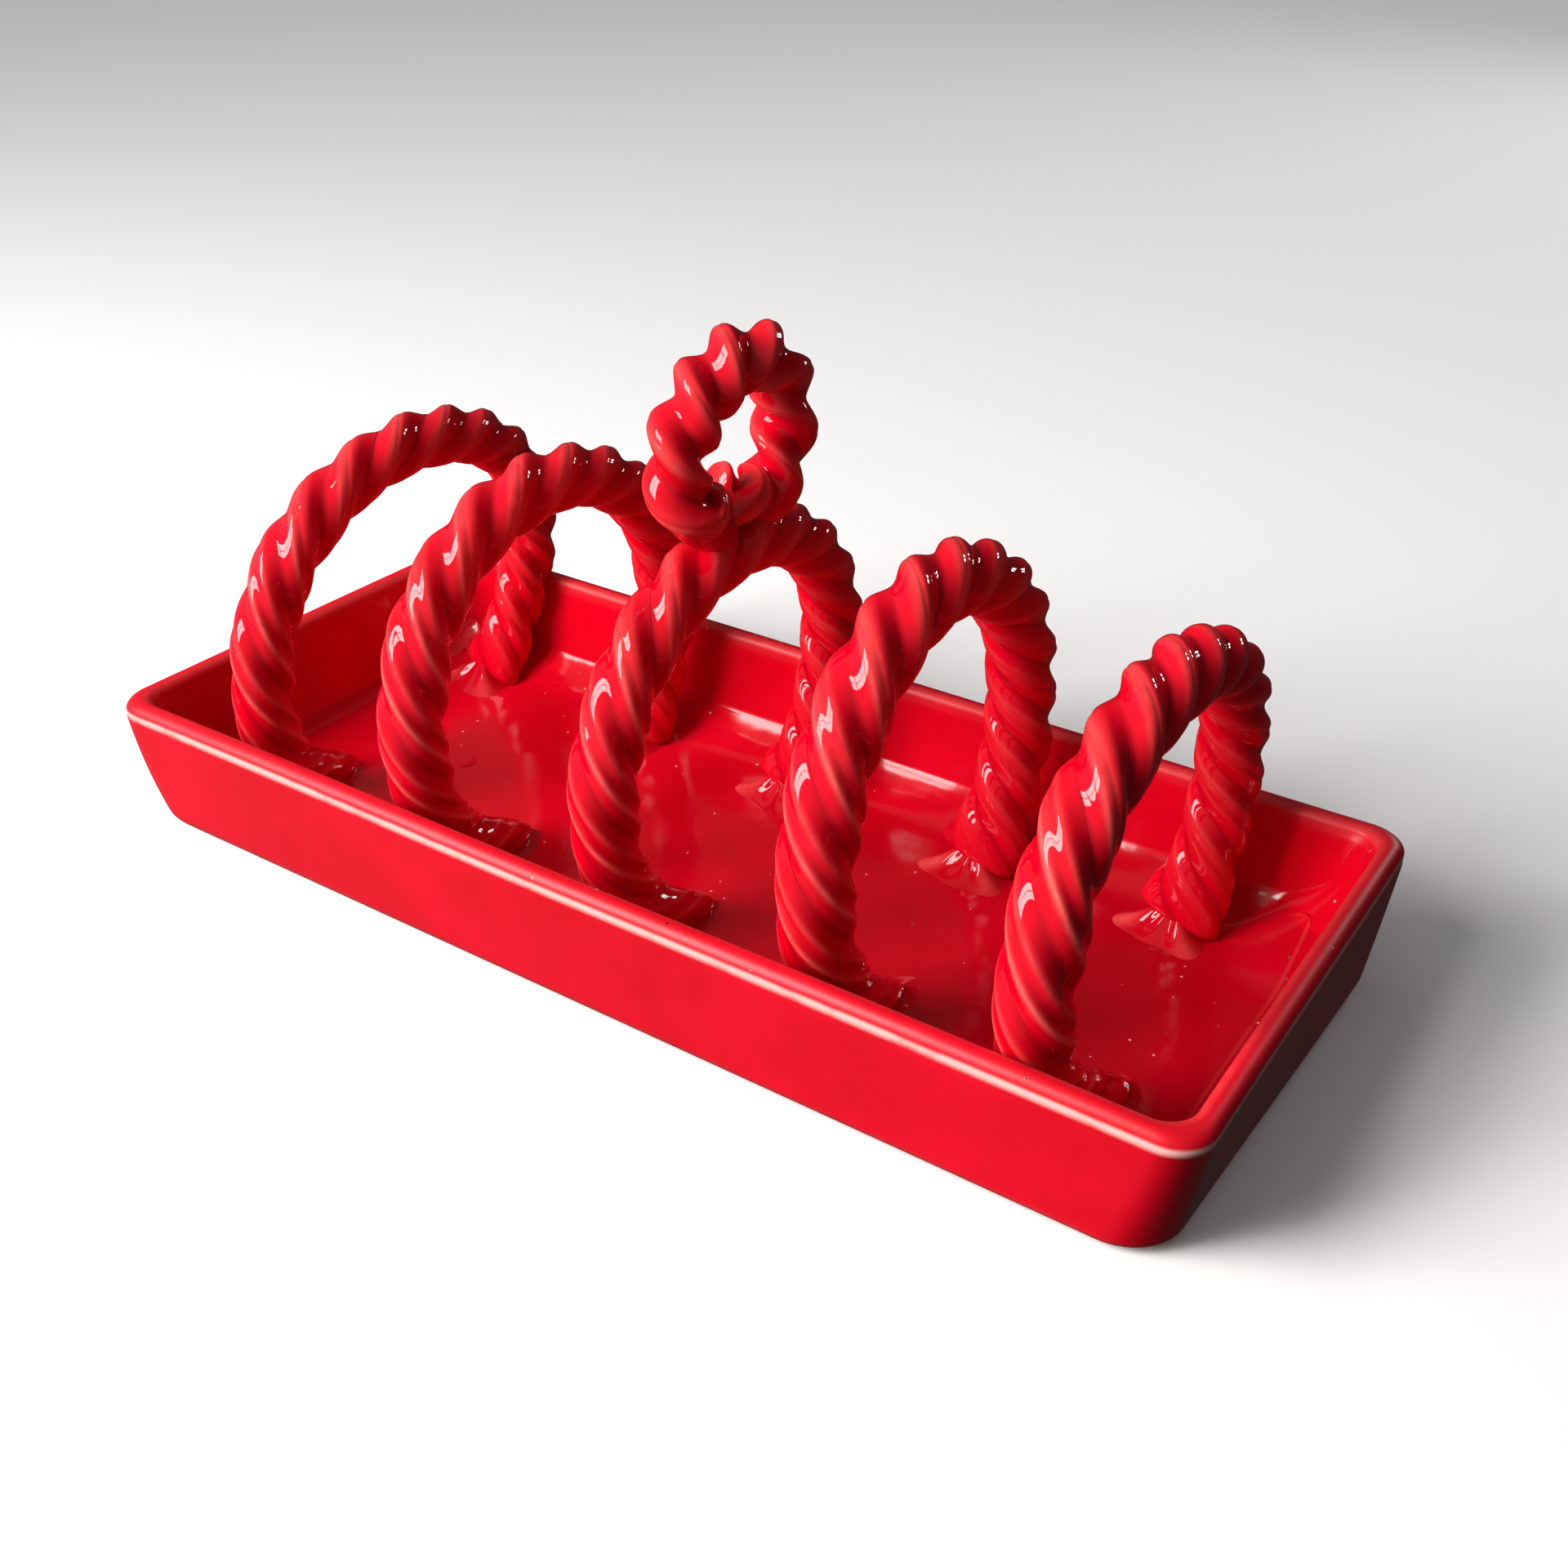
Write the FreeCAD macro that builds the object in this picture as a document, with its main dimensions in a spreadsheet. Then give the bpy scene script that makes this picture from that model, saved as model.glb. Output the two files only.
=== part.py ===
"""Glazed stoneware toast rack: a flared tray, five twisted clay arches and a ring handle.

Millimetres, +Z up. The origin is the centre of the tray's flat underside. +X runs along
the tray, across the toast slots. +Y runs across the tray, along each arch, and the "near"
side is -Y.

Each arch is a rope of three round clay coils, twisted together with a left-hand lay. Its
two toes curl inward on the tray floor, where each stands on a flattened pad of clay. No two
arches are quite alike: each leans a little across the tray, slants a little along it, and
lets its near toe drift along the floor. The ring handle is a rope of two coils and sits on
the crown of the middle arch.
"""
import FreeCAD, Part

import math
import os

import Sketcher
from FreeCAD import Placement, Rotation, Vector

SIZES = (
    ("tray_length", 240.0),
    ("tray_width", 106.0),
    ("tray_height", 28.0),
    ("wall_flare", 4.6),
    ("wall_thickness", 4.6),
    ("floor_thickness", 5.0),
    ("corner_radius", 8.0),
    ("foot_radius", 3.0),
    ("cove_radius", 5.0),
    ("lip_radius", 2.0),
    ("coil_half_depth", 2.95),
    ("coil_half_width", 3.35),
    ("ring_coil_half_depth", 3.1),
    ("ring_coil_half_width", 4.1),
    ("coil_gap", 0.04),
    ("near_toe_inset", 20.0),
    ("far_toe_inset", 11.5),
    ("toe_height", 4.0),
    ("heel_inset", 7.0),
    ("heel_height", 8.5),
    ("calf_inset", 1.5),
    ("calf_height", 20.0),
    ("spring_height", 41.0),
    ("near_lay", 50.0),
    ("far_lay", 36.0),
    ("one_place", -94.0),
    ("one_reach", 40.2),
    ("one_crown", 71.7),
    ("one_lean", 9.0),
    ("one_slant", 4.0),
    ("one_toe_drift", 1.0),
    ("two_place", -44.5),
    ("two_reach", 39.0),
    ("two_crown", 76.5),
    ("two_lean", -2.0),
    ("two_slant", 1.5),
    ("two_toe_drift", 3.0),
    ("three_place", -2.0),
    ("three_reach", 37.5),
    ("three_crown", 72.3),
    ("three_lean", 4.0),
    ("three_slant", 1.0),
    ("three_toe_drift", 6.0),
    ("four_place", 45.5),
    ("four_reach", 36.5),
    ("four_crown", 79.3),
    ("four_lean", -3.0),
    ("four_slant", 0.5),
    ("four_toe_drift", 4.0),
    ("five_place", 88.0),
    ("five_reach", 39.5),
    ("five_crown", 73.8),
    ("five_lean", -2.5),
    ("five_slant", 1.0),
    ("five_toe_drift", 6.5),
    ("ring_place", 0.4),
    ("ring_radius", 14.6),
    ("ring_across", 3.6),
    ("ring_height", 94.4),
    ("ring_lay", 18.0),
    ("ring_start_bearing", 242.0),
    ("ring_sweep", 350.0),
    ("pad_thickness", 1.2),
    ("near_pad_radius", 8.0),
    ("far_pad_radius", 8.0),
)
ARCHES = ("one", "two", "three", "four", "five")
START_TURNS = {"one": 0.10, "two": 0.45, "three": 0.25, "four": 0.60, "five": 0.88}
RING_ARCH = "three"
HEEL_DRIFT_SHARE = 0.3
STATIONS_PER_LAY = 12
RING_POINTS = 8

os.makedirs("parts", exist_ok=True)
doc = FreeCAD.newDocument("toast_rack")


def make_sheet():
    """The driving dimensions, one named cell each."""
    cells = doc.addObject("Spreadsheet::Sheet", "sizes")
    for row, (name, value) in enumerate(SIZES, start=1):
        cells.set(f"A{row}", name)
        cells.set(f"B{row}", str(value))
        cells.setAlias(f"B{row}", name)
    doc.recompute()
    return cells


sheet = make_sheet()


def size(name):
    return float(sheet.get(name))


def origin_plane(body, role):
    return next(part for part in body.Origin.OriginFeatures if part.Role == role)


def new_sketch(body, name):
    """An empty sketch on the body's own horizontal plane."""
    sketch = body.newObject("Sketcher::SketchObject", name)
    sketch.AttachmentSupport = [(origin_plane(body, "XY_Plane"), "")]
    sketch.MapMode = "FlatFace"
    return sketch


def bind(sketch, constraint, name, expression):
    """Add a dimension and drive it from the sheet."""
    index = sketch.addConstraint(constraint)
    sketch.renameConstraint(index, name)
    sketch.setExpression(f"Constraints.{name}", expression)


def outline(body, name, inset, height):
    """A level rounded rectangle, inset all round from the rim's outline."""
    sketch = new_sketch(body, name)
    half_x, half_y, corner = 100.0, 45.0, 6.0
    x, y = half_x - corner, half_y - corner
    sides = (
        (Vector(-x, -half_y), Vector(x, -half_y), Vector(x, -y), 270),
        (Vector(half_x, -y), Vector(half_x, y), Vector(x, y), 0),
        (Vector(x, half_y), Vector(-x, half_y), Vector(-x, y), 90),
        (Vector(-half_x, y), Vector(-half_x, -y), Vector(-x, -y), 180),
    )
    for start, end, centre, bearing in sides:
        sketch.addGeometry(Part.LineSegment(start, end))
        circle = Part.Circle(centre, Vector(0, 0, 1), corner)
        sketch.addGeometry(Part.ArcOfCircle(circle, math.radians(bearing), math.radians(bearing + 90)))
    for line in (0, 2, 4, 6):
        arc, next_line = line + 1, (line + 2) % 8
        sketch.addConstraint(Sketcher.Constraint("Tangent", line, 2, arc, 1))
        sketch.addConstraint(Sketcher.Constraint("Tangent", arc, 2, next_line, 1))
        direction = "Horizontal" if line in (0, 4) else "Vertical"
        sketch.addConstraint(Sketcher.Constraint(direction, line))
    for arc in (3, 5, 7):
        sketch.addConstraint(Sketcher.Constraint("Equal", 1, arc))
    sketch.addConstraint(Sketcher.Constraint("Symmetric", 0, 1, 4, 1, -1, 1))
    bind(sketch, Sketcher.Constraint("Radius", 1, corner), "corner", "sizes.corner_radius")
    along = Sketcher.Constraint("DistanceX", 6, 1, 2, 1, 2 * half_x)
    bind(sketch, along, "along", f"sizes.tray_length - 2 * ({inset})")
    across = Sketcher.Constraint("DistanceY", 0, 1, 4, 1, 2 * half_y)
    bind(sketch, across, "across", f"sizes.tray_width - 2 * ({inset})")
    sketch.setExpression(".AttachmentOffset.Base.z", height)
    return sketch


def loft(body, kind, name, first, second):
    """Join two outlines with straight sides, added to the body or taken from it."""
    feature = body.newObject(f"PartDesign::{kind}Loft", name)
    feature.Profile = first
    feature.Sections = [second]
    feature.Ruled = True
    doc.recompute()
    return feature


def level_edges(shape, height):
    """Names of the edges that lie wholly at one height."""
    names = []
    for number, edge in enumerate(shape.Edges, start=1):
        box = edge.BoundBox
        if abs(box.ZMin - height) < 1e-4 and abs(box.ZMax - height) < 1e-4:
            names.append(f"Edge{number}")
    return names


def round_level(body, name, height, radius):
    """Round every edge of the body at one height."""
    base = body.Tip
    fillet = body.newObject("PartDesign::Fillet", name)
    fillet.Base = (base, level_edges(base.Shape, height))
    fillet.setExpression("Radius", radius)
    doc.recompute()
    return fillet


def make_tray():
    """The tray: flared walls of one thickness, a rounded lip, a coved floor, a flat underside."""
    body = doc.addObject("PartDesign::Body", "tray")
    body.Label = "tray"
    foot = outline(body, "foot_outline", "sizes.wall_flare", "0")
    rim = outline(body, "rim_outline", "0", "sizes.tray_height")
    loft(body, "Additive", "block", foot, rim)
    floor_share = "(1 - sizes.floor_thickness / sizes.tray_height)"
    floor_inset = f"sizes.wall_thickness + sizes.wall_flare * {floor_share}"
    floor = outline(body, "floor_outline", floor_inset, "sizes.floor_thickness")
    mouth = outline(body, "mouth_outline", "sizes.wall_thickness", "sizes.tray_height")
    loft(body, "Subtractive", "hollow", floor, mouth)
    round_level(body, "cove", size("floor_thickness"), "sizes.cove_radius")
    round_level(body, "foot_edge", 0.0, "sizes.foot_radius")
    round_level(body, "lip", size("tray_height"), "sizes.lip_radius")
    body.Placement = Placement(Vector(0, 0, 0), Rotation())
    return body


def make_pad(label, place, across, radius):
    """A flattened round of clay on the tray floor, under one toe of an arch."""
    body = doc.addObject("PartDesign::Body", label)
    body.Label = label
    sketch = new_sketch(body, f"{label}_outline")
    sketch.addGeometry(Part.Circle(Vector(0, 0, 0), Vector(0, 0, 1), 5.0))
    sketch.addConstraint(Sketcher.Constraint("Coincident", 0, 3, -1, 1))
    bind(sketch, Sketcher.Constraint("Radius", 0, 5.0), "radius", radius)
    disc = body.newObject("PartDesign::Pad", f"{label}_disc")
    disc.Profile = sketch
    disc.setExpression("Length", "sizes.pad_thickness")
    doc.recompute()
    round_level(body, f"{label}_edge", size("pad_thickness"), "sizes.pad_thickness * 0.8")
    body.Placement = Placement(Vector(place, across, size("floor_thickness")), Rotation())
    return body


def smooth_curve(points):
    """A smooth curve through points, its parameter running evenly from one to the next."""
    curve = Part.BSplineCurve()
    curve.interpolate(Points=points, Parameters=[float(number) for number in range(len(points))])
    return curve


def leg_points(reach, crown, toe_inset):
    """The centre line of half an arch, from toe to just short of the crown, at positive Y."""
    standing = size("floor_thickness") + size("pad_thickness")
    points = [
        Vector(0, reach - toe_inset, standing + size("toe_height")),
        Vector(0, reach - size("heel_inset"), standing + size("heel_height")),
        Vector(0, reach - size("calf_inset"), standing + size("calf_height")),
    ]
    rise = crown - size("spring_height")
    for bearing in (0, 30, 60):
        angle = math.radians(bearing)
        height = size("spring_height") + rise * math.sin(angle)
        points.append(Vector(0, reach * math.cos(angle), height))
    return points


def arch_line(arch):
    """The centre line of an arch's rope, from the near toe over the crown to the far toe."""
    reach, crown = size(f"{arch}_reach"), size(f"{arch}_crown")
    near = [Vector(0, -p.y, p.z) for p in leg_points(reach, crown, size("near_toe_inset"))]
    near[0].x += size(f"{arch}_toe_drift")
    near[1].x += size(f"{arch}_toe_drift") * HEEL_DRIFT_SHARE
    far = leg_points(reach, crown, size("far_toe_inset"))
    points = near + [Vector(0, 0, crown)] + far[::-1]
    for point in points:
        rise = (point.z - size("floor_thickness")) / (crown - size("floor_thickness"))
        point.x += size(f"{arch}_slant") * rise
        point.y += size(f"{arch}_lean") * rise
    return smooth_curve(points)


def coil(line, middle, lay_at, start_turn, centre_offset, half_depth, half_width):
    """One coil twisted left-handed about a centre line near the YZ plane.

    middle is a point that the line bends around, and lay_at gives the length of one turn at
    a share of the line. The coil's section, square across the rope, is an ellipse that faces
    the rope's centre, half_depth deep and half_width wide. The side is one smooth surface
    through evenly spaced rings of points, closed around the coil, with a flat face on each end.
    """
    length = line.length()
    steps = math.ceil(length * STATIONS_PER_LAY / min(lay_at(0.0), lay_at(1.0)))
    spread = 3 / (2 + math.cos(2 * math.pi / RING_POINTS))
    rows = [[] for _ in range(RING_POINTS)]
    turn = start_turn
    for step in range(steps + 1):
        share = step / steps
        parameter = line.parameterAtDistance(length * share)
        point = line.value(parameter)
        along = Vector(*line.tangent(parameter)[0]).normalize()
        outward = Vector(1, 0, 0).cross(along).normalize()
        if outward.dot(point - middle) < 0:
            outward = -outward
        sideways = along.cross(outward)
        angle = 2 * math.pi * turn
        deep = outward * math.cos(angle) + sideways * math.sin(angle)
        wide = along.cross(deep)
        centre = point + deep * centre_offset
        for number, row in enumerate(rows):
            around = 2 * math.pi * number / RING_POINTS
            across = deep * (half_depth * math.cos(around)) + wide * (half_width * math.sin(around))
            row.append(centre + across * spread)
        turn -= length / steps / lay_at(share)

    curves = [smooth_curve(row) for row in rows]
    poles = [list(ring) for ring in zip(*(curve.getPoles() for curve in curves))]
    knots = [float(knot) for knot in range(RING_POINTS + 1)]
    ones = [1] * len(knots)
    surface = Part.BSplineSurface()
    surface.buildFromPolesMultsKnots(
        poles, curves[0].getMultiplicities(), ones, curves[0].getKnots(), knots, False, True, 3, 3
    )
    side = surface.toShape()
    ends = [Part.Face(Part.Wire([edge])) for edge in side.Edges if edge.isClosed()]
    shell = Part.makeShell([side] + ends)
    shell.sewShape()
    return Part.makeSolid(shell)


def add_solid(label, shape, place):
    """A coil, whose twisted shape no sketch, sweep or primitive gives, at its place along X."""
    feature = doc.addObject("Part::Feature", label)
    feature.Label = label
    feature.Shape = shape.Solids[0]
    feature.Placement = Placement(Vector(place, 0, 0), Rotation())
    return feature


def arch_lay(share):
    """Length of one turn of an arch's rope: long in the near leg, short past the crown."""
    return size("near_lay") + (size("far_lay") - size("near_lay")) * min(1.0, 2 * share)


def ring_lay(share):
    return size("ring_lay")


def arch_coil_offset():
    """From the rope's centre to its coils' centres, with three equal coils side by side."""
    third = math.radians(60)
    reach_sideways = math.hypot(
        size("coil_half_width") * math.sin(third), size("coil_half_depth") * math.cos(third)
    )
    return (reach_sideways + size("coil_gap") / 2) / math.sin(third)


def make_arch(arch):
    """The three coils of an arch, cut flat where they stand, and the pads under its toes."""
    line = arch_line(arch)
    middle = Vector(0, 0, size("spring_height"))
    section = (arch_coil_offset(), size("coil_half_depth"), size("coil_half_width"))
    standing = size("floor_thickness") + size("pad_thickness")
    below = Part.makeBox(60, 160, 40, Vector(-30, -80, standing - 40))
    place = size(f"{arch}_place")
    pieces = []
    for number, name in enumerate(("a", "b", "c")):
        whole = coil(line, middle, arch_lay, START_TURNS[arch] + number / 3, *section)
        pieces.append(add_solid(f"arch_{arch}_coil_{name}", whole.cut(below), place))
    for side, direction, drift in (("near", -1, size(f"{arch}_toe_drift")), ("far", 1, 0.0)):
        toe = size(f"{arch}_reach") - size(f"{side}_toe_inset") + size(f"{side}_pad_radius") / 3
        label = f"arch_{arch}_pad_{side}"
        pieces.append(make_pad(label, place + drift, direction * toe, f"sizes.{side}_pad_radius"))
    return pieces


def make_ring():
    """The ring handle's two coils, cut to sit on the crown of the middle arch."""
    centre = Vector(0, size("ring_across"), size("ring_height"))
    points = []
    for share in (0.0, 0.5, 1.0):
        bearing = math.radians(size("ring_start_bearing") - size("ring_sweep") * share)
        points.append(centre + Vector(0, math.cos(bearing), math.sin(bearing)) * size("ring_radius"))
    line = Part.Arc(*points)
    half_depth, half_width = size("ring_coil_half_depth"), size("ring_coil_half_width")
    section = (half_depth + size("coil_gap") / 2, half_depth, half_width)
    rope_radius = arch_coil_offset() + size("coil_half_depth") + size("coil_gap")
    middle = Vector(0, 0, size("spring_height"))
    crown = coil(arch_line(RING_ARCH), middle, arch_lay, 0.0, 0.0, rope_radius, rope_radius)
    place = size("ring_place")
    crown.translate(Vector(size(f"{RING_ARCH}_place") - place, 0, 0))
    pieces = []
    for number, name in enumerate(("a", "b")):
        whole = coil(line, centre, ring_lay, number / 2, *section)
        pieces.append(add_solid(f"ring_coil_{name}", whole.cut(crown), place))
    return pieces


def check(parts):
    """Stop if anything failed to build."""
    for item in doc.Objects:
        if {"Invalid", "Error"} & set(item.State):
            raise RuntimeError(f"{item.Name} is {item.State}")
    for part in parts:
        if part.Shape.isNull() or not part.Shape.isValid() or len(part.Shape.Solids) != 1:
            raise RuntimeError(f"{part.Label} has no single valid solid")


parts = [make_tray()]
for arch_name in ARCHES:
    parts += make_arch(arch_name)
parts += make_ring()
doc.recompute()
check(parts)
for part in parts:
    part.Shape.exportStep(f"parts/{part.Label}.step")
    print(f"{part.Label}: {part.Shape.Volume:.0f} mm3")
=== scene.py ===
"""Glazed toast rack: the visual model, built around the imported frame.

Shapes are worked out in millimetres in the frame's own axes and turned into metres when a mesh
is made. Places and heights come from the boxes of the CAD nodes.
"""
import math

import bpy
import numpy as np
from mathutils import Matrix, Vector


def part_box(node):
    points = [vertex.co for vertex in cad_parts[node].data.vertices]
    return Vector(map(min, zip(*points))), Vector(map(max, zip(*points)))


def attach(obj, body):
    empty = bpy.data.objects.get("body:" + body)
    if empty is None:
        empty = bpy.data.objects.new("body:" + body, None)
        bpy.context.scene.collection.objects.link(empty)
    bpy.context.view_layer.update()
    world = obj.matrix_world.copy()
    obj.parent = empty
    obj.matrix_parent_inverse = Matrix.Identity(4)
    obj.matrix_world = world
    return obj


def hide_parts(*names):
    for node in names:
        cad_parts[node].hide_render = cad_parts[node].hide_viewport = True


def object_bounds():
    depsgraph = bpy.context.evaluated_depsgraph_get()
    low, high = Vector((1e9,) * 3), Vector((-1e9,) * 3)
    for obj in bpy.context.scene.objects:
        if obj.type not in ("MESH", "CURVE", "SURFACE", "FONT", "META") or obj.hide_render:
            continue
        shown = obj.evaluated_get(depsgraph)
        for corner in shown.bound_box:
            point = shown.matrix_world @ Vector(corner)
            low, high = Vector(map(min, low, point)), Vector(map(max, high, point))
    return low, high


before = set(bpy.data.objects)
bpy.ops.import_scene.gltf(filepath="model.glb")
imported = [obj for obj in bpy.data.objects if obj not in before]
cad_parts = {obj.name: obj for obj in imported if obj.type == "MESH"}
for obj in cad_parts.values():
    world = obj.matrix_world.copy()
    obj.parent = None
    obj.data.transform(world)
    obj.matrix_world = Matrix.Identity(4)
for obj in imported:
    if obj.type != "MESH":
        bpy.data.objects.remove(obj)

cad_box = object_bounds()
MM = 0.001
ARCHES = ("one", "two", "three", "four", "five")
COILS = ("a", "b", "c")

# How each arch was put together: where its first coil starts round the rope, in turns, the length
# of one turn at its crown, how far its crown slants along the tray, and a seed for its small
# irregularities.
START_TURN = {"one": 0.27, "two": 0.60, "three": 0.24, "four": 0.50, "five": 0.76}
CROWN_LAY = {"one": 42.0, "two": 42.0, "three": 38.0, "four": 36.0, "five": 35.0}
SLANT = {"one": 4.0, "two": 1.5, "three": 1.0, "four": 0.5, "five": 1.0}
SEED = {"one": 11, "two": 23, "three": 37, "four": 41, "five": 59}

# Small shifts of each arch from its CAD place, in X and Y and, at its crown, in Z, how thick its
# rope is, and how far its near toe runs in.
SHIFT = {
    "one": (1.8, 0.8, 1.0),
    "two": (-0.3, 0.0, 0.6),
    "three": (0.2, 0.0, 0.6),
    "four": (-0.5, -0.7, -0.1),
    "five": (-1.4, -0.6, 0.1),
}
GIRTH = {"one": 0.95, "two": 0.97, "three": 0.97, "four": 1.03, "five": 0.98}
TOE_REACH = {"one": 26.0, "two": 26.0, "three": 24.5, "four": 21.5, "five": 23.5}

# Length of one turn of the coils at the near and the far end of an arch, the rope's radius, and
# the height at which the legs turn into the crown.
NEAR_LAY, FAR_LAY = 50.0, 34.0
ROPE_RADIUS = 6.73
SPRING_HEIGHT = 41.0

# How finely the coils and the tray are divided.
STEPS_AROUND = 45
ARCH_STATIONS, RING_STATIONS = 400, 300
CORNER_STEPS, LONG_SIDE_STEPS, SHORT_SIDE_STEPS = 14, 150, 62

ALONG_TRAY = np.array([1.0, 0, 0])


def box_mm(node):
    """Lowest and highest corner of a CAD node, in mm."""
    low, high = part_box(node)
    return np.array(low) / MM, np.array(high) / MM


def joined_box(nodes):
    """The box round several CAD nodes, in mm."""
    boxes = [box_mm(node) for node in nodes]
    return np.min([low for low, _ in boxes], axis=0), np.max([high for _, high in boxes], axis=0)


def smoothstep(low, high, value):
    """0 below low and 1 above high, with a smooth step between."""
    share = np.clip((np.asarray(value, float) - low) / (high - low), 0.0, 1.0)
    return share * share * (3 - 2 * share)


def wave_noise(points, size, seed, octaves=2):
    """Smooth noise of about -1 to 1 at points (N, 3), its features about size across."""
    rng = np.random.default_rng(seed)
    total = np.zeros(len(points))
    weight = 0.0
    for octave in range(octaves):
        step = size / 2**octave
        gain = 0.5**octave
        for _ in range(7):
            direction = rng.normal(size=3)
            direction *= 2 * math.pi / (step * 2.2) / np.linalg.norm(direction)
            total += gain * np.sin(points @ direction + rng.uniform(0, 2 * math.pi))
        weight += gain * math.sqrt(7 / 2) * 1.6
    return total / weight


def grid_faces(rows, wide, flipped=False):
    """Quads between successive closed rows of wide points each."""
    faces = []
    for row in range(rows - 1):
        for j in range(wide):
            k = (j + 1) % wide
            here, above = row * wide, (row + 1) * wide
            if flipped:
                faces.append((here + j, above + j, above + k, here + k))
            else:
                faces.append((here + j, here + k, above + k, above + j))
    return faces


def line_noise(distance, size, seed):
    """Smooth noise of about -1 to 1 along a line."""
    points = np.zeros((len(distance), 3))
    points[:, 0] = distance
    return wave_noise(points, size, seed)


def spline_through(points, count):
    """count points, evenly spaced, along a natural cubic spline through the given points."""
    points = np.asarray(points, float)
    total = len(points)
    system = np.zeros((total, total))
    right = np.zeros_like(points)
    system[0, 0] = system[-1, -1] = 1.0
    for row in range(1, total - 1):
        system[row, row - 1:row + 2] = (1.0, 4.0, 1.0)
        right[row] = 6 * (points[row - 1] - 2 * points[row] + points[row + 1])
    bend = np.linalg.solve(system, right)
    at = np.linspace(0, total - 1, 4000)
    cell = np.minimum(at.astype(int), total - 2)
    t = (at - cell)[:, None]
    p, q, bp, bq = points[cell], points[cell + 1], bend[cell], bend[cell + 1]
    dense = (1 - t) * p + t * q + ((1 - t) ** 3 - (1 - t)) * bp / 6 + (t**3 - t) * bq / 6
    run = np.concatenate([[0], np.cumsum(np.linalg.norm(np.diff(dense, axis=0), axis=1))])
    even = np.linspace(0, run[-1], count)
    return np.stack([np.interp(even, run, dense[:, axis]) for axis in range(3)], 1), even


def new_piece(name, vertices, faces, values, replaced, sharp=None):
    """A mesh piece from vertices in mm, with its per-vertex glaze values, riding on the root."""
    mesh = bpy.data.meshes.new(name)
    mesh.from_pydata((np.asarray(vertices) * MM).tolist(), [], faces)
    mesh.validate()
    mesh.update()
    for key, numbers in values.items():
        attribute = mesh.attributes.new(key, "FLOAT", "POINT")
        attribute.data.foreach_set("value", np.asarray(numbers, np.float32))
    mesh.polygons.foreach_set("use_smooth", [True] * len(mesh.polygons))
    if sharp is not None:
        ends = np.zeros(len(mesh.edges) * 2, np.int32)
        mesh.edges.foreach_get("vertices", ends)
        marks = sharp(ends.reshape(-1, 2))
        attribute = mesh.attributes.new("sharp_edge", "BOOLEAN", "EDGE")
        attribute.data.foreach_set("value", marks)
    piece = bpy.data.objects.new(name, mesh)
    bpy.context.scene.collection.objects.link(piece)
    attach(piece, "root")
    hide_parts(*replaced)
    return piece


# ---------------------------------------------------------------- sections of the coils

def lobe_profile(lobes, top, face, valley, shoulder, line_at, line_width, line_gain):
    """Radius, thinness with its painted highlight and pooling with its painted shade, over one
    lobe, at STEPS_AROUND even bearings.

    The lobe is top from the rope's centre at its shoulders and falls softly to valley between
    two lobes. Between the shoulders its face is pressed in to the distance face.
    """
    half = 180 / lobes
    signed = np.linspace(-half, half, STEPS_AROUND)
    degrees = np.abs(signed)
    radius = valley + (top - valley) * (1 - smoothstep(shoulder, half, degrees) ** 0.9)
    radius -= (top - face) * np.cos(np.minimum(degrees / (shoulder * 1.15), 1) * math.pi / 2) ** 2
    # A pale line along each lobe: thin glaze, and on the round lobes mostly a painted highlight.
    thin_glaze_and_highlight = line_gain * np.exp(-(((degrees - line_at) / line_width) ** 2))
    # One side of each lobe gets the stronger pale line: a painted highlight on the lit side.
    thin_glaze_and_highlight *= 0.70 - 0.30 * np.tanh(signed / 6)
    # Darker towards the valleys between lobes: pooled glaze and painted shade.
    pool_and_shade = smoothstep(0.72, 1.0, degrees / half)
    return np.stack([radius, thin_glaze_and_highlight, pool_and_shade])


# A lobe of an arch where the rope is flattened and where it is round, and a lobe of the ring.
FLAT_LOBE = lobe_profile(3, 6.78, 6.38, 5.65, 18.0, 21.0, 6.5, 1.0)
ROUND_LOBE = lobe_profile(3, 6.76, 6.70, 4.95, 6.0, 3.0, 12.0, 0.70)
RING_LOBE = lobe_profile(2, 6.35, 6.30, 3.85, 10.0, 8.0, 22.0, 0.45)


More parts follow.
